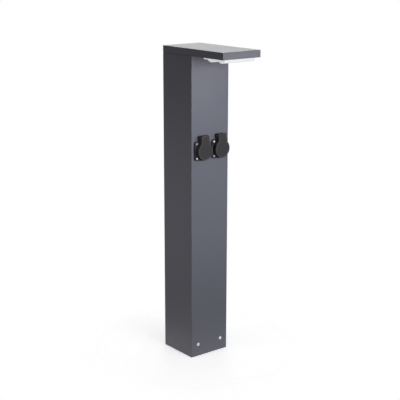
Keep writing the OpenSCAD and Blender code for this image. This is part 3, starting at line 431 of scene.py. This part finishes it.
def galvanised(colours):
    """Zinc on bent sheet: spangle of crystals, each with its own tone and gloss."""
    f = Finish("galvanised_sheet")
    warp = f.noise(70)
    spangle = f.cells(210)
    fine = f.noise(1400, detail=3.0)
    base = f.mix(spangle, tone(colours.zinc, 0.78), tone(colours.zinc, 1.12))
    base = f.mix((warp * 0.35).limited(), base, tone(colours.zinc, 0.85))
    return f.set(
        Base_Color=base,
        Metallic=1.0,
        Roughness=(0.30 + spangle * 0.20 + fine * 0.10).limited(),
        Normal=f.bump(spangle * 0.3 + fine * 0.7, distance=0.00001, normal=f.rounded(0.0004)),
    )


def bright_metal(name, colour, roughness, along=(1.0, 1.0, 1.0), radius=0.0003):
    """Drawn, turned or brushed metal: fine lines along one way, handled patches."""
    f = Finish(name)
    lines = f.noise(900, detail=3.0, roughness=0.6, place=f.stretched(*along))
    patches = f.noise(45, detail=4.0)
    base = f.mix(patches, tone(colour, 0.88), tone(colour, 1.06))
    base = f.mix((lines * 0.25).limited(), base, tone(colour, 0.75))
    return f.set(
        Base_Color=base,
        Metallic=1.0,
        Roughness=(roughness - 0.05 + lines * 0.12 + patches * 0.08).limited(),
        Normal=f.bump(lines, distance=0.000006, normal=f.rounded(radius)),
    )


def opal_lens(colours):
    """Frosted moulded lens with fine flutes that spread the light, and an even painted glow that
    stands in for light coming through the frosted lens.
    """
    f = Finish("opal_lens")
    flutes = f.bands(180, "X")
    frost = f.noise(2600)
    haze = f.noise(30, detail=3.0)
    base = f.mix(haze, tone(colours.lens, 0.95), tone(colours.lens, 1.04))
    return f.set(
        Base_Color=base,
        Roughness=(0.22 + frost * 0.10 + haze * 0.06).limited(),
        Subsurface_Weight=0.25,
        Subsurface_Radius=(0.004, 0.004, 0.004),
        Normal=f.bump(flutes * 0.8 + frost * 0.2, distance=0.00008, normal=f.rounded(0.0006)),
        # painted glow: this white emission stands in for light coming through the frosted lens
        Emission_Color=(0.985, 0.985, 1.0, 1),
        Emission_Strength=0.60,
    )


def silicone(colours):
    """Pale silicone bead with a slight skin."""
    f = Finish("silicone_joint")
    haze = f.noise(120, detail=4.0)
    skin = f.noise(1500)
    return f.set(
        Base_Color=f.mix(haze, tone(colours.silicone, 0.86), tone(colours.silicone, 1.08)),
        Roughness=(0.45 + haze * 0.15).limited(),
        Normal=f.bump(skin, distance=0.00002, normal=f.rounded(0.0003)),
    )


def circuit_board(colours):
    """White solder mask with the copper under it showing as low raised areas."""
    f = Finish("circuit_board")
    tracks = f.node(
        "ShaderNodeTexBrick", {},
        {"Vector": f.place, "Scale": 60.0, "Mortar Size": 0.04, "Mortar Smooth": 0.3},
    )
    groove = Value(f, tracks.outputs["Fac"])
    speck = f.noise(1800)
    base = f.mix(groove, tone(colours.board), tone(colours.board, 0.72))
    base = f.mix((speck * 0.15).limited(), base, tone(colours.board, 0.85))
    return f.set(
        Base_Color=base,
        Roughness=(0.30 + speck * 0.12).limited(),
        Normal=f.bump((1 - groove) + speck * 0.1, distance=0.00004),
    )


def phosphor(colours):
    """Yellow phosphor over the emitters, faintly lit."""
    f = Finish("phosphor_emitters")
    grain = f.noise(3000)
    return f.set(
        Base_Color=f.mix(grain, tone(colours.phosphor, 0.85), tone(colours.phosphor, 1.1)),
        Roughness=(0.45 + grain * 0.2).limited(),
        Normal=f.bump(grain, distance=0.00002, normal=f.rounded(0.0002)),
        Emission_Color=(1.0, 0.86, 0.62, 1),
        Emission_Strength=0.4,
    )


def jacket(name, colour):
    """Extruded lead jacket: slight ripple of the cores inside, drawn lines, dust."""
    f = Finish(name)
    ripple = f.noise(160)
    skin = f.noise(1900, detail=3.0)
    dust = f.noise(50, detail=4.0)
    return f.set(
        Base_Color=f.mix(dust, tone(colour, 0.85), tone(colour, 1.35)),
        Roughness=(0.48 + dust * 0.14 + skin * 0.06).limited(),
        Normal=f.bump(ripple * 0.6 + skin * 0.4, distance=0.00005),
    )


def studio_floor(colours, glow):
    """Pale floor that fades into the white of the backdrop some way off."""
    f = Finish("studio_floor")
    cloud = f.noise(1.5, detail=3.0)
    reach = f.node("ShaderNodeVectorMath", {"operation": "LENGTH"}, {0: f.place})
    fade = f.ramp(
        Value(f, reach.outputs["Value"]) * FADE_SCALE,
        (FADE_START * FADE_SCALE, 1.0), (FADE_END * FADE_SCALE, 0.0),
    )
    return f.set(
        Base_Color=f.mix(cloud, tone(colours.floor, 0.99), tone(colours.floor, 1.01)),
        Roughness=(0.7 + cloud * 0.1).limited(),
        Specular_IOR_Level=0.2,
        Emission_Color=(1, 1, 1, 1),
        Emission_Strength=glow,
        Alpha=fade,
    )


# pieces

def dress(material, *names):
    """Gives CAD nodes their finish."""
    for name in names:
        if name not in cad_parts:
            raise RuntimeError("the frame has no node named " + name)
        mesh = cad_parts[name].data
        mesh.materials.clear()
        mesh.materials.append(material)


def both(*names):
    """The names of a left and a right piece for each name."""
    return [side + "_" + name for side in SIDES for name in names]


def domed(rings, radius):
    """The rings of a tube, each of a place, two directions and a radius, with its ends drawn in."""
    place, ahead, across, _ = rings[0]
    first = [
        (place + ahead * radius * (1 - out) * DOME_DEPTH, ahead, across, radius * share)
        for out, share in DOME_RINGS
    ]
    place, ahead, across, _ = rings[-1]
    final = [
        (place - ahead * radius * (1 - out) * DOME_DEPTH, ahead, across, radius * share)
        for out, share in reversed(DOME_RINGS)
    ]
    return first + rings[1:-1] + final


def swept(name, path, radius, sides, material):
    """A round tube along a path, with domed ends, as one new mesh object."""
    points = [Vector(p) for p in path]
    last = len(points) - 1
    rings = []
    ahead = (points[1] - points[0]).normalized()
    across = ahead.orthogonal().normalized()
    for i, point in enumerate(points):
        ahead = (points[min(i + 1, last)] - points[max(i - 1, 0)]).normalized()
        across = (across - ahead * across.dot(ahead)).normalized()
        rings.append((point, ahead, across, radius))
    mesh = bmesh.new()
    loops = []
    angles = [math.tau * k / sides for k in range(sides)]
    for point, ahead, across, size in domed(rings, radius):
        beside = ahead.cross(across)
        loops.append([
            mesh.verts.new(point + (across * math.cos(a) + beside * math.sin(a)) * size)
            for a in angles
        ])
    for low, high in zip(loops, loops[1:]):
        for k in range(sides):
            n = (k + 1) % sides
            mesh.faces.new((low[k], low[n], high[n], high[k]))
    mesh.faces.new(list(reversed(loops[0])))
    mesh.faces.new(loops[-1])
    for face in mesh.faces:
        face.smooth = len(face.verts) == 4
    data = bpy.data.meshes.new(name)
    mesh.to_mesh(data)
    mesh.free()
    data.materials.append(material)
    made = bpy.data.objects.new(name, data)
    bpy.context.scene.collection.objects.link(made)
    return made


def eased(points):
    """A smooth curve through points in millimetres, with straight ends, as points in metres."""
    route = [Vector(p) for p in points]
    curve = [route[0]]
    for a, b, c, d in zip(route, route[1:], route[2:], route[3:]):
        for k in range(LEAD_STEPS):
            t = k / LEAD_STEPS
            curve.append(
                0.5 * (2 * b + (c - a) * t + (2 * a - 5 * b + 4 * c - d) * t * t
                       + (3 * b - a - 3 * c + d) * t ** 3)
            )
    curve += [route[-2], route[-1]]
    return [p * MM for p in curve]


# middle lines of the leads, in millimetres
SOCKET_ROUTE = [
    (14, 14, 121), (14, 14, 133), (18, 26, 165), (25, 44, 205), (28, 47, 260), (28, 47, 330),
    (28, 47, 400), (28, 38, 450), (28, 5, 490), (28, -32, 521.5), (28, -32, 541.5),
]
DRIVER_ROUTE = [
    (0, 14, 121), (0, 14, 133), (0, 30, 165), (0, 46, 210), (0, 48, 290), (0, 48, 380),
    (0, 48, 470), (0, 46, 550), (0, 39.7, 604.2), (0, 39.7, 620.2),
]
LIGHT_ROUTE = [
    (-12, 39.7, 745.2), (-12, 39.7, 757.2), (-18, 34, 777.2), (-27, 24, 790), (-28, 2, 810),
    (-28, -24, 812.9), (-28, -78.5, 812.9), (-28, -96.5, 812.9),
]


def spring_path(sizes, side):
    """Leg on the housing, coil round the pin, leg under the lid, in metres."""
    radius = sizes.coil_radius
    whole = TURN * sizes.coil_turns + PART_TURN
    length = sizes.coil_step * whole / TURN
    local = [Vector((-length / 2, -sizes.housing_leg, radius))]
    local += [Vector((-length / 2, -radius * share, radius)) for share in reversed(LEG_POINTS)]
    for turned in range(0, whole + 1, COIL_ARC):
        a = math.radians(turned)
        local.append(Vector((
            -length / 2 + length * turned / whole, radius * math.sin(a), radius * math.cos(a)
        )))
    local += [Vector((length / 2, -radius, radius * share)) for share in LEG_POINTS]
    local.append(Vector((length / 2, -radius, sizes.lid_leg)))
    return [
        Vector((
            side * sizes.socket_pitch / 2 + p.x,
            -sizes.post_face - sizes.hinge_reach - p.z,
            sizes.socket_height + sizes.hinge_rise + p.y,
        ))
        for p in local
    ]


class BollardStep:
    """What the operators share: where their settings are."""

    bl_options = {"REGISTER", "UNDO"}

    @property
    def colours(self):
        return bpy.context.scene.bollard_colours

    @property
    def sizes(self):
        return bpy.context.scene.bollard_sizes

    @property
    def studio(self):
        return bpy.context.scene.bollard_studio


class BOLLARD_OT_coat(BollardStep, bpy.types.Operator):
    """Powder coats the post, the head and the plate that closes it"""

    bl_idname = "bollard.coat"
    bl_label = "Coat Post and Head"

    def execute(self, context):
        dress(powder_coat(self.colours), "post_tube", "head_shell", "head_base")
        return {"FINISHED"}


class BOLLARD_OT_sheet_metal(BollardStep, bpy.types.Operator):
    """Galvanises the foot, the brackets, the spigot and the gear tray"""

    bl_idname = "bollard.sheet_metal"
    bl_label = "Galvanise Sheet Metal"

    def execute(self, context):
        dress(
            galvanised(self.colours), "foot_bracket", "terminal_bracket", "cord_clamp",
            "head_spigot", "gear_tray",
        )
        return {"FINISHED"}


class BOLLARD_OT_fasteners(BollardStep, bpy.types.Operator):
    """Finishes screws and nuts in stainless steel and zinc"""

    bl_idname = "bollard.fasteners"
    bl_label = "Finish Screws and Nuts"

    def execute(self, context):
        dress(
            bright_metal("stainless_screws", self.colours.stainless, roughness=0.52),
            "flange_screws", "head_screws", "base_screws", "spigot_screws",
            "board_screws", "bracket_screws", "clamp_screws", "tray_screws", "driver_screws",
        )
        # painted highlight: the foot screws get a lighter copy of the stainless colour, besides their
        # lower roughness
        highlight_brightened_stainless = shaded(self.colours.stainless, 1.04)
        dress(bright_metal("polished_screws", highlight_brightened_stainless, roughness=0.24), "foot_screws")
        dress(
            bright_metal("zinc_nuts", self.colours.zinc, roughness=0.34),
            "foot_nuts", "flange_nuts",
        )
        dress(
            bright_metal("blued_screws", self.colours.blued, roughness=0.40, radius=0.0002),
            "insert_screws",
        )
        return {"FINISHED"}


class BOLLARD_OT_seals(BollardStep, bpy.types.Operator):
    """Finishes gaskets and seals"""

    bl_idname = "bollard.seals"
    bl_label = "Finish Gaskets and Seals"

    def execute(self, context):
        dress(
            rubber("gasket_rubber", self.colours.rubber, roughness=0.62),
            "head_gasket", *both("flange_gasket"),
        )
        dress(
            rubber("lid_seal_rubber", self.colours.rubber, roughness=0.52), *both("lid_seal")
        )
        dress(silicone(self.colours), "lens_joint")
        return {"FINISHED"}


class BOLLARD_OT_light(BollardStep, bpy.types.Operator):
    """Finishes the lens, the emitters, the board and the heat spreader"""

    bl_idname = "bollard.light"
    bl_label = "Finish Light"

    def execute(self, context):
        dress(opal_lens(self.colours), "lens_cover")
        dress(phosphor(self.colours), "leds")
        dress(circuit_board(self.colours), "led_board")
        dress(
            bright_metal(
                "brushed_aluminium", self.colours.aluminium, roughness=0.33, along=(0.03, 1, 1)
            ),
            "heat_spreader",
        )
        return {"FINISHED"}


class BOLLARD_OT_gear(BollardStep, bpy.types.Operator):
    """Finishes the driver and the terminal block"""

    bl_idname = "bollard.gear"
    bl_label = "Finish Driver and Terminals"

    def execute(self, context):
        dress(
            moulded("driver_case", self.colours.case, roughness=0.48, grain_scale=1500),
            "led_driver",
        )
        paler = shaded(self.colours.case, 1.08)
        dress(
            moulded("terminal_polyamide", paler, roughness=0.4, grain_scale=1900),
            "terminal_block",
        )
        return {"FINISHED"}


class BOLLARD_OT_sockets(BollardStep, bpy.types.Operator):
    """Finishes the socket frames, painted darker than the lids as shade round them, the inserts and
    the rear covers
    """

    bl_idname = "bollard.sockets"
    bl_label = "Finish Sockets"

    def execute(self, context):
        # painted shade: the socket frames are made darker than the lids' moulding to stand in for the
        # shade in the gaps round the lids
        shade_darkened_moulding = shaded(self.colours.moulding, 0.65)
        dress(
            moulded("socket_frame_plastic", shade_darkened_moulding, roughness=0.46), *both("socket_housing")
        )
        dress(
            moulded(
                "socket_insert_plastic", self.colours.insert, roughness=0.38, grain_scale=3000,
                depth=0.00001,
            ),
            *both("socket_insert", "contact_block", "rear_cover"),
        )
        return {"FINISHED"}


class BOLLARD_OT_lids(BollardStep, bpy.types.Operator):
    """Finishes the spring lids, with a painted highlight along their rims"""

    bl_idname = "bollard.lids"
    bl_label = "Finish Lids"

    def execute(self, context):
        # the lids' rims get a painted highlight in the rim highlight colour
        dress(
            moulded(
                "lid_plastic", self.colours.moulding, roughness=0.44, grain_scale=2100,
                depth=0.00003, radius=0.001, rim=0.003, rim_highlight_colour=self.colours.lid_rim_highlight,
            ),
            *both("lid"),
        )
        return {"FINISHED"}


class BOLLARD_OT_contacts(BollardStep, bpy.types.Operator):
    """Finishes the brass contacts, earth parts and hinge pins"""

    bl_idname = "bollard.contacts"
    bl_label = "Finish Contacts and Pins"

    def execute(self, context):
        dress(
            bright_metal(
                "brass_contacts", self.colours.brass, roughness=0.27, along=(1, 0.2, 1),
                radius=0.0002,
            ),
            "earth_stud", "earth_nuts", *both("line_contacts", "earth_clip"),
        )
        dress(
            bright_metal(
                "hinge_pin_steel", self.colours.stainless, roughness=0.22, along=(1, 0.05, 0.05),
                radius=0.0001,
            ),
            *both("hinge_pin"),
        )
        return {"FINISHED"}


class BOLLARD_OT_springs(BollardStep, bpy.types.Operator):
    """Winds the two closing springs round the hinge pins; on the real bollard they twist as the lids
    open
    """

    bl_idname = "bollard.springs"
    bl_label = "Wind Closing Springs"

    def execute(self, context):
        steel = bright_metal(
            "spring_wire", self.colours.spring, roughness=0.28, along=(0.1, 1, 1), radius=0.00005
        )
        radius = self.sizes.wire_radius
        for side, sign in SIDES.items():
            path = spring_path(self.sizes, sign)
            spring = swept(side + "_closing_spring", path, radius, SPRING_SIDES, steel)
            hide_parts(side + "_hinge_spring")
            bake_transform(spring)
        return {"FINISHED"}


class BOLLARD_OT_leads(BollardStep, bpy.types.Operator):
    """Lays the leads inside the post"""

    bl_idname = "bollard.leads"
    bl_label = "Lay Leads"

    def execute(self, context):
        black = jacket("black_lead_jacket", self.colours.black_jacket)
        white = jacket("white_lead_jacket", self.colours.white_jacket)
        thick, thin = self.sizes.power_lead_radius, self.sizes.light_lead_radius
        mirrored = [(-x, y, z) for x, y, z in SOCKET_ROUTE]
        for name, node, route, radius, material, slot in (
            ("right_socket_cable", "right_socket_lead", SOCKET_ROUTE, thick, black, "lead_black"),
            ("left_socket_cable", "left_socket_lead", mirrored, thick, black, "lead_black"),
            ("driver_cable", "driver_lead", DRIVER_ROUTE, thick, black, "lead_black"),
            ("light_cable", "led_lead", LIGHT_ROUTE, thin, white, "lead_white"),
        ):
            cable = swept(name, eased(route), radius, LEAD_SIDES, material)
            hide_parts(node)
            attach(cable, "post_body")
        return {"FINISHED"}


# name, place, aim, side and spread of each soft light, in metres and degrees
LAMPS = (
    ("front", (0.5, -2.6, 1.4), (0, -0.03, 0.5), 1.4, 180),
    ("main", (0.05, -1.6, 0.8), (0.02, -0.06, 0.5), 0.7, 34),
    ("near", (0.2, -0.56, 0.72), (0, -0.12, 0.77), 0.2, 55),
    ("back", (2.4, 3.05, 1.95), (0, 0, 0.82), 1.4, 180),
    ("side", (-2.3, 0.5, 0.9), (0, 0, 0.34), 0.4, 20),
)


def lay_floor(scene, colours, glow):
    """A wide flat square just under the foot."""
    mesh = bpy.data.meshes.new("studio_floor")
    corners = [(-1, -1), (1, -1), (1, 1), (-1, 1)]
    mesh.from_pydata([(x * FLOOR_HALF, y * FLOOR_HALF, 0) for x, y in corners], [], [(0, 1, 2, 3)])
    mesh.materials.append(studio_floor(colours, glow))
    floor = bpy.data.objects.new("studio_floor", mesh)
    floor.location.z = -FLOOR_DROP
    scene.collection.objects.link(floor)


def hang_sky(scene, studio):
    """Plain white to the camera, and soft light to everything else."""
    world = bpy.data.worlds.new("studio_sky")
    world.use_nodes = True
    nodes, links = world.node_tree.nodes, world.node_tree.links
    nodes.clear()
    cast = nodes.new("ShaderNodeBackground")
    cast.inputs["Color"].default_value = (*studio.ambient_tint, 1)
    cast.inputs["Strength"].default_value = studio.ambient
    seen = nodes.new("ShaderNodeBackground")
    seen.inputs["Color"].default_value = (1, 1, 1, 1)
    seen.inputs["Strength"].default_value = 1.0
    path = nodes.new("ShaderNodeLightPath")
    choice = nodes.new("ShaderNodeMixShader")
    output = nodes.new("ShaderNodeOutputWorld")
    links.new(path.outputs["Is Camera Ray"], choice.inputs[0])
    links.new(cast.outputs[0], choice.inputs[1])
    links.new(seen.outputs[0], choice.inputs[2])
    links.new(choice.outputs[0], output.inputs["Surface"])
    scene.world = world


def hang_lamps(scene, studio):
    """The soft square lights of the table, each turned to its aim."""
    for name, place, aim, size, spread in LAMPS:
        data = bpy.data.lights.new(name + "_light", "AREA")
        data.energy = getattr(studio, name + "_power")
        data.shape = "SQUARE"
        data.size = size
        data.spread = math.radians(spread)
        data.color = getattr(studio, name + "_tint")
        lamp = bpy.data.objects.new(name + "_light", data)
        lamp.location = place
        way = Vector(aim) - Vector(place)
        lamp.rotation_euler = way.to_track_quat("-Z", "Y").to_euler()
        scene.collection.objects.link(lamp)


def place_camera(scene, studio):
    """The camera, level with the horizon but for its dip and roll."""
    data = bpy.data.cameras.new("photo_camera")
    data.sensor_width = SENSOR_WIDTH
    data.lens = studio.lens
    data.clip_start = CLIP_START
    data.clip_end = CLIP_END
    camera = bpy.data.objects.new("photo_camera", data)
    turn = (
        Matrix.Rotation(studio.heading, 4, "Z")
        @ Matrix.Rotation(math.radians(90) - studio.dip, 4, "X")
        @ Matrix.Rotation(studio.roll, 4, "Z")
    )
    place = (studio.camera_x, studio.camera_y, studio.camera_z)
    camera.matrix_world = Matrix.Translation(place) @ turn
    scene.collection.objects.link(camera)
    scene.camera = camera


class BOLLARD_OT_stage(BollardStep, bpy.types.Operator):
    """Sets up the pale floor, the soft lights, the sky and the camera"""

    bl_idname = "bollard.stage"
    bl_label = "Set Up Studio"

    def execute(self, context):
        scene = context.scene
        scene.view_settings.view_transform = "Standard"
        lay_floor(scene, self.colours, self.studio.floor_glow)
        hang_sky(scene, self.studio)
        hang_lamps(scene, self.studio)
        place_camera(scene, self.studio)
        return {"FINISHED"}


STEPS = (
    BOLLARD_OT_coat,
    BOLLARD_OT_sheet_metal,
    BOLLARD_OT_fasteners,
    BOLLARD_OT_seals,
    BOLLARD_OT_light,
    BOLLARD_OT_gear,
    BOLLARD_OT_sockets,
    BOLLARD_OT_lids,
    BOLLARD_OT_contacts,
    BOLLARD_OT_springs,
    BOLLARD_OT_leads,
    BOLLARD_OT_stage,
)


class BOLLARD_PT_panel(bpy.types.Panel):
    """Lists the settings and the steps in the 3D view's sidebar"""

    bl_idname = "BOLLARD_PT_panel"
    bl_label = "Bollard Light"
    bl_space_type = "VIEW_3D"
    bl_region_type = "UI"
    bl_category = "Bollard"

    def draw(self, context):
        layout = self.layout
        scene = context.scene
        for title, group in (
            ("Sizes", scene.bollard_sizes),
            ("Colours", scene.bollard_colours),
            ("Studio", scene.bollard_studio),
        ):
            box = layout.box()
            box.label(text=title)
            for key in group.__annotations__:
                box.prop(group, key)
        for step in STEPS:
            layout.operator(step.bl_idname)


GROUPS = (BollardSizes, BollardColours, BollardStudio)
CLASSES = (*GROUPS, *STEPS, BOLLARD_PT_panel)


def register():
    for each in CLASSES:
        bpy.utils.register_class(each)
    bpy.types.Scene.bollard_sizes = PointerProperty(type=BollardSizes)
    bpy.types.Scene.bollard_colours = PointerProperty(type=BollardColours)
    bpy.types.Scene.bollard_studio = PointerProperty(type=BollardStudio)


def unregister():
    del bpy.types.Scene.bollard_studio
    del bpy.types.Scene.bollard_colours
    del bpy.types.Scene.bollard_sizes
    for each in reversed(CLASSES):
        bpy.utils.unregister_class(each)


def main():
    register()
    for step in STEPS:
        group, name = step.bl_idname.split(".")
        getattr(getattr(bpy.ops, group), name)()
    bpy.context.view_layer.update()


if __name__ == "__main__":
    main()
